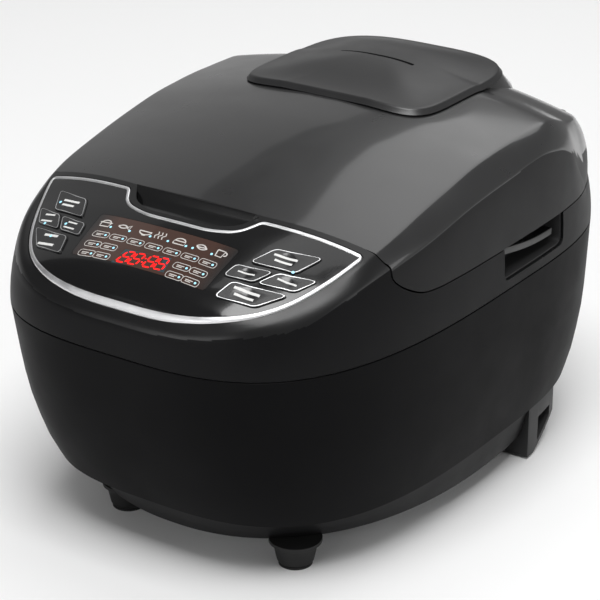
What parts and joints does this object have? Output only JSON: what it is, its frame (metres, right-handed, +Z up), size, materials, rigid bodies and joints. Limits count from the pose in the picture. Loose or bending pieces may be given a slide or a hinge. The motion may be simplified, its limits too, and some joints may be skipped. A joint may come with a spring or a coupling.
{
  "type": "electric pressure cooker",
  "caption": "Countertop electric cooker with a rounded matte body, a glossy hinged lid, a lift-off steam cap, a sloping key panel with a digit display and a lift-out pot.",
  "frame": {"origin": "under the middle of the object's box, on the surface it stands on", "axes": "+X to the right as seen from the front, +Y from the key panel to the hinge, +Z up"},
  "size_m": [0.28, 0.4, 0.256],
  "materials": {
    "shell_black": "fine matte black moulding",
    "lid_black": "satin to gloss black moulding",
    "cap_black": "satin black moulding",
    "panel_gloss": "polished black panel",
    "dark_grey": "dark grey moulding",
    "silver_line": "thin bright line",
    "display_lens": "tinted display window",
    "display_parts": "digit module and switches",
    "circuit_board": "green board",
    "foot_rubber": "black rubber",
    "steel": "plated steel",
    "aluminium": "plain aluminium",
    "pot_coating": "dark non-stick coating",
    "seal_silicone": "pale silicone",
    "inlet_black": "black moulding",
    "fuse_ceramic": "ceramic block",
    "wire_jacket": "wire jackets"
  },
  "bodies": {
    "base_unit": {"lower_body": "shell_black", "upper_collar": "shell_black", "base_skirt": "dark_grey", "bottom_plate": "steel", "front_foot_left": "foot_rubber", "front_foot_right": "foot_rubber", "rear_foot_left": "dark_grey", "rear_foot_right": "dark_grey", "foot_pads": "foot_rubber", "base_screws": "steel", "grip_left": "dark_grey", "grip_right": "dark_grey", "panel_fascia": "panel_gloss", "panel_trim": "silver_line", "display_window": "display_lens", "display_module": "display_parts", "control_board": "circuit_board", "key_switches": "display_parts", "button_spring": "steel", "latch_bracket": "steel", "latch_pin": "steel", "heat_shield": "steel", "heater_plate": "aluminium", "heater_legs": "steel", "sensor_spring": "steel", "thermal_fuse": "fuse_ceramic", "inner_pot": "pot_coating", "power_board": "circuit_board", "wire_harness": "wire_jacket", "inlet_socket": "inlet_black", "inlet_pins": "steel", "hinge_pin": "steel", "hinge_spring": "steel", "deck_screws": "steel"},
    "lid": {"lid_shell": "lid_black", "lid_liner": "dark_grey", "lid_plate": "aluminium", "lid_gasket": "seal_silicone", "lid_plate_grommet": "foot_rubber", "lid_striker": "steel", "lid_screws": "steel", "steam_cup": "dark_grey", "steam_tube": "seal_silicone"},
    "steam_cap": {"cap_cover": "cap_black", "cap_cup": "dark_grey"},
    "release_button": {"release_button": "lid_black"},
    "latch_hook": {"latch_hook": "steel"},
    "temp_sensor": {"temp_sensor": "aluminium"},
    "key_cancel": {"key_cancel": "panel_gloss"},
    "key_time": {"key_time": "panel_gloss"},
    "key_delay": {"key_delay": "panel_gloss"},
    "key_temperature": {"key_temperature": "panel_gloss"},
    "key_start": {"key_start": "panel_gloss"},
    "key_hours": {"key_hours": "panel_gloss"},
    "key_minutes": {"key_minutes": "panel_gloss"},
    "key_menu": {"key_menu": "panel_gloss"}
  },
  "joints": [
    {"name": "lid_hinge", "type": "hinge", "parent": "base_unit", "child": "lid", "pos_m": [0, 0.187, 0.1905], "axis": [-1, 0, 0], "range_deg": [0, 80]},
    {"name": "steam_cap_lift", "type": "slide", "parent": "lid", "child": "steam_cap", "axis": [0, 0, 1], "range_m": [0, 0.03]},
    {"name": "release_press", "type": "slide", "parent": "base_unit", "child": "release_button", "axis": [0, 0, -1], "range_m": [0, 0.004], "stiffness_N_per_m": 500, "springref_m": -0.002, "deforming": ["button_spring"]},
    {"name": "latch_turn", "type": "hinge", "parent": "base_unit", "child": "latch_hook", "pos_m": [0, -0.12, 0.1845], "axis": [-1, 0, 0], "range_deg": [0, 10]},
    {"name": "sensor_push", "type": "slide", "parent": "base_unit", "child": "temp_sensor", "axis": [0, 0, -1], "range_m": [0, 0.003], "stiffness_N_per_m": 600, "springref_m": -0.002, "deforming": ["sensor_spring"]},
    {"name": "key_cancel_press", "type": "slide", "parent": "base_unit", "child": "key_cancel", "axis": [0.2033, 0.4103, -0.889], "range_m": [0, 0.0006], "stiffness_N_per_m": 600, "springref_m": -0.0005},
    {"name": "key_time_press", "type": "slide", "parent": "base_unit", "child": "key_time", "axis": [0.2726, 0.4523, -0.8492], "range_m": [0, 0.0006], "stiffness_N_per_m": 600, "springref_m": -0.0005},
    {"name": "key_delay_press", "type": "slide", "parent": "base_unit", "child": "key_delay", "axis": [0.1721, 0.4217, -0.8903], "range_m": [0, 0.0006], "stiffness_N_per_m": 600, "springref_m": -0.0005},
    {"name": "key_temperature_press", "type": "slide", "parent": "base_unit", "child": "key_temperature", "axis": [0.2488, 0.5071, -0.8252], "range_m": [0, 0.0006], "stiffness_N_per_m": 600, "springref_m": -0.0005},
    {"name": "key_start_press", "type": "slide", "parent": "base_unit", "child": "key_start", "axis": [-0.2033, 0.4103, -0.889], "range_m": [0, 0.0006], "stiffness_N_per_m": 600, "springref_m": -0.0005},
    {"name": "key_hours_press", "type": "slide", "parent": "base_unit", "child": "key_hours", "axis": [-0.1721, 0.4217, -0.8903], "range_m": [0, 0.0006], "stiffness_N_per_m": 600, "springref_m": -0.0005},
    {"name": "key_minutes_press", "type": "slide", "parent": "base_unit", "child": "key_minutes", "axis": [-0.2726, 0.4523, -0.8492], "range_m": [0, 0.0006], "stiffness_N_per_m": 600, "springref_m": -0.0005},
    {"name": "key_menu_press", "type": "slide", "parent": "base_unit", "child": "key_menu", "axis": [-0.2488, 0.5071, -0.8252], "range_m": [0, 0.0006], "stiffness_N_per_m": 600, "springref_m": -0.0005}
  ],
  "couplings": [
    {"joint": "latch_turn", "follows": "release_press", "rad_per_m": 43.6}
  ]
}
